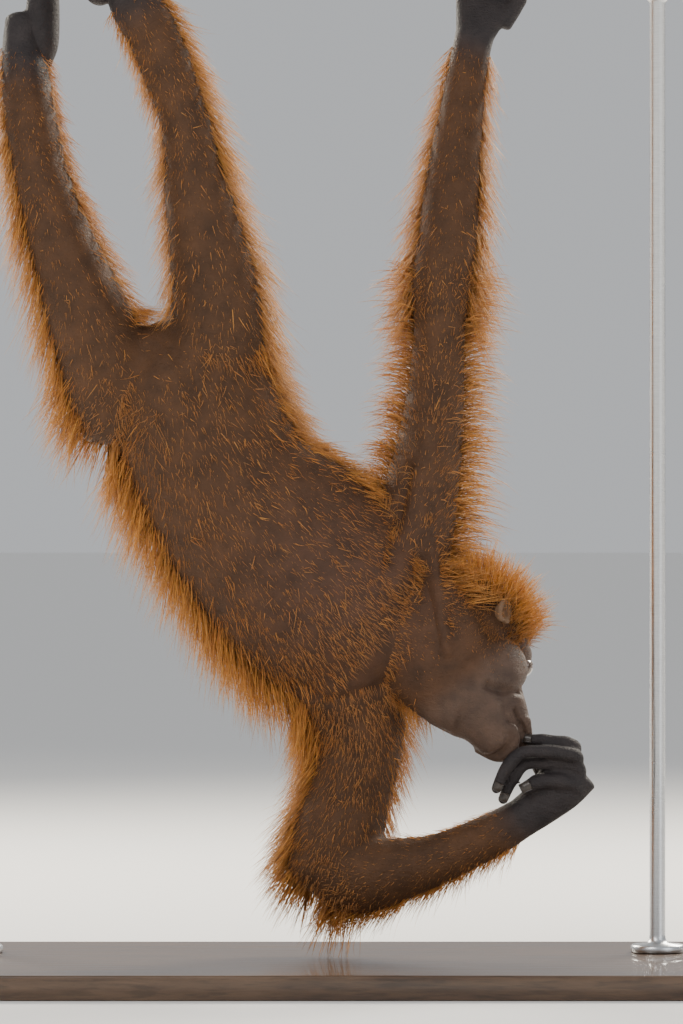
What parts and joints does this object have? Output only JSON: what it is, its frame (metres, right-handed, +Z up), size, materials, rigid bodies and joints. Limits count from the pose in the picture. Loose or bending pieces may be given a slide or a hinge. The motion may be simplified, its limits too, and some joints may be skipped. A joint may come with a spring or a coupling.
{
  "type": "orangutan",
  "caption": "Life-size museum model of a young orangutan hanging head down from a cut branch by both feet and one hand, the other hand at its mouth, on a display stand.",
  "frame": {"origin": "centre of the base plate's underside", "axes": "+Z up, -Y towards the viewer of the front view, +X to that viewer's right"},
  "size_m": [0.82, 0.44, 1.0854],
  "materials": {
    "coat": "matte",
    "skin": "satin",
    "eye": "gloss",
    "bark": "rough",
    "base": "satin",
    "steel": "brushed"
  },
  "bodies": {
    "root": {"abdomen": "coat", "pelvis": "coat", "chest": "coat", "neck": "coat", "upper_arm_right": "coat", "forearm_right": "coat", "upper_arm_left": "coat", "forearm_left": "coat", "thigh_left": "coat", "shank_left": "coat", "thigh_right": "coat", "shank_right": "coat", "head": "skin", "ear_right": "skin", "ear_left": "skin", "hand_right": "skin", "hand_left": "skin", "foot_left": "skin", "foot_right": "skin", "index_finger_right": "skin", "middle_finger_right": "skin", "ring_finger_right": "skin", "little_finger_right": "skin", "thumb_right": "skin", "index_finger_left": "skin", "middle_finger_left": "skin", "ring_finger_left": "skin", "little_finger_left": "skin", "thumb_left": "skin", "toe_2_left": "skin", "toe_2_right": "skin", "toe_3_left": "skin", "toe_3_right": "skin", "toe_4_left": "skin", "toe_4_right": "skin", "toe_5_left": "skin", "toe_5_right": "skin", "big_toe_left": "skin", "big_toe_right": "skin", "eye_right": "eye", "eye_left": "eye", "perch_branch": "bark", "stand_base": "base", "stand_rod_left": "steel", "stand_rod_right": "steel"}
  },
  "joints": []
}
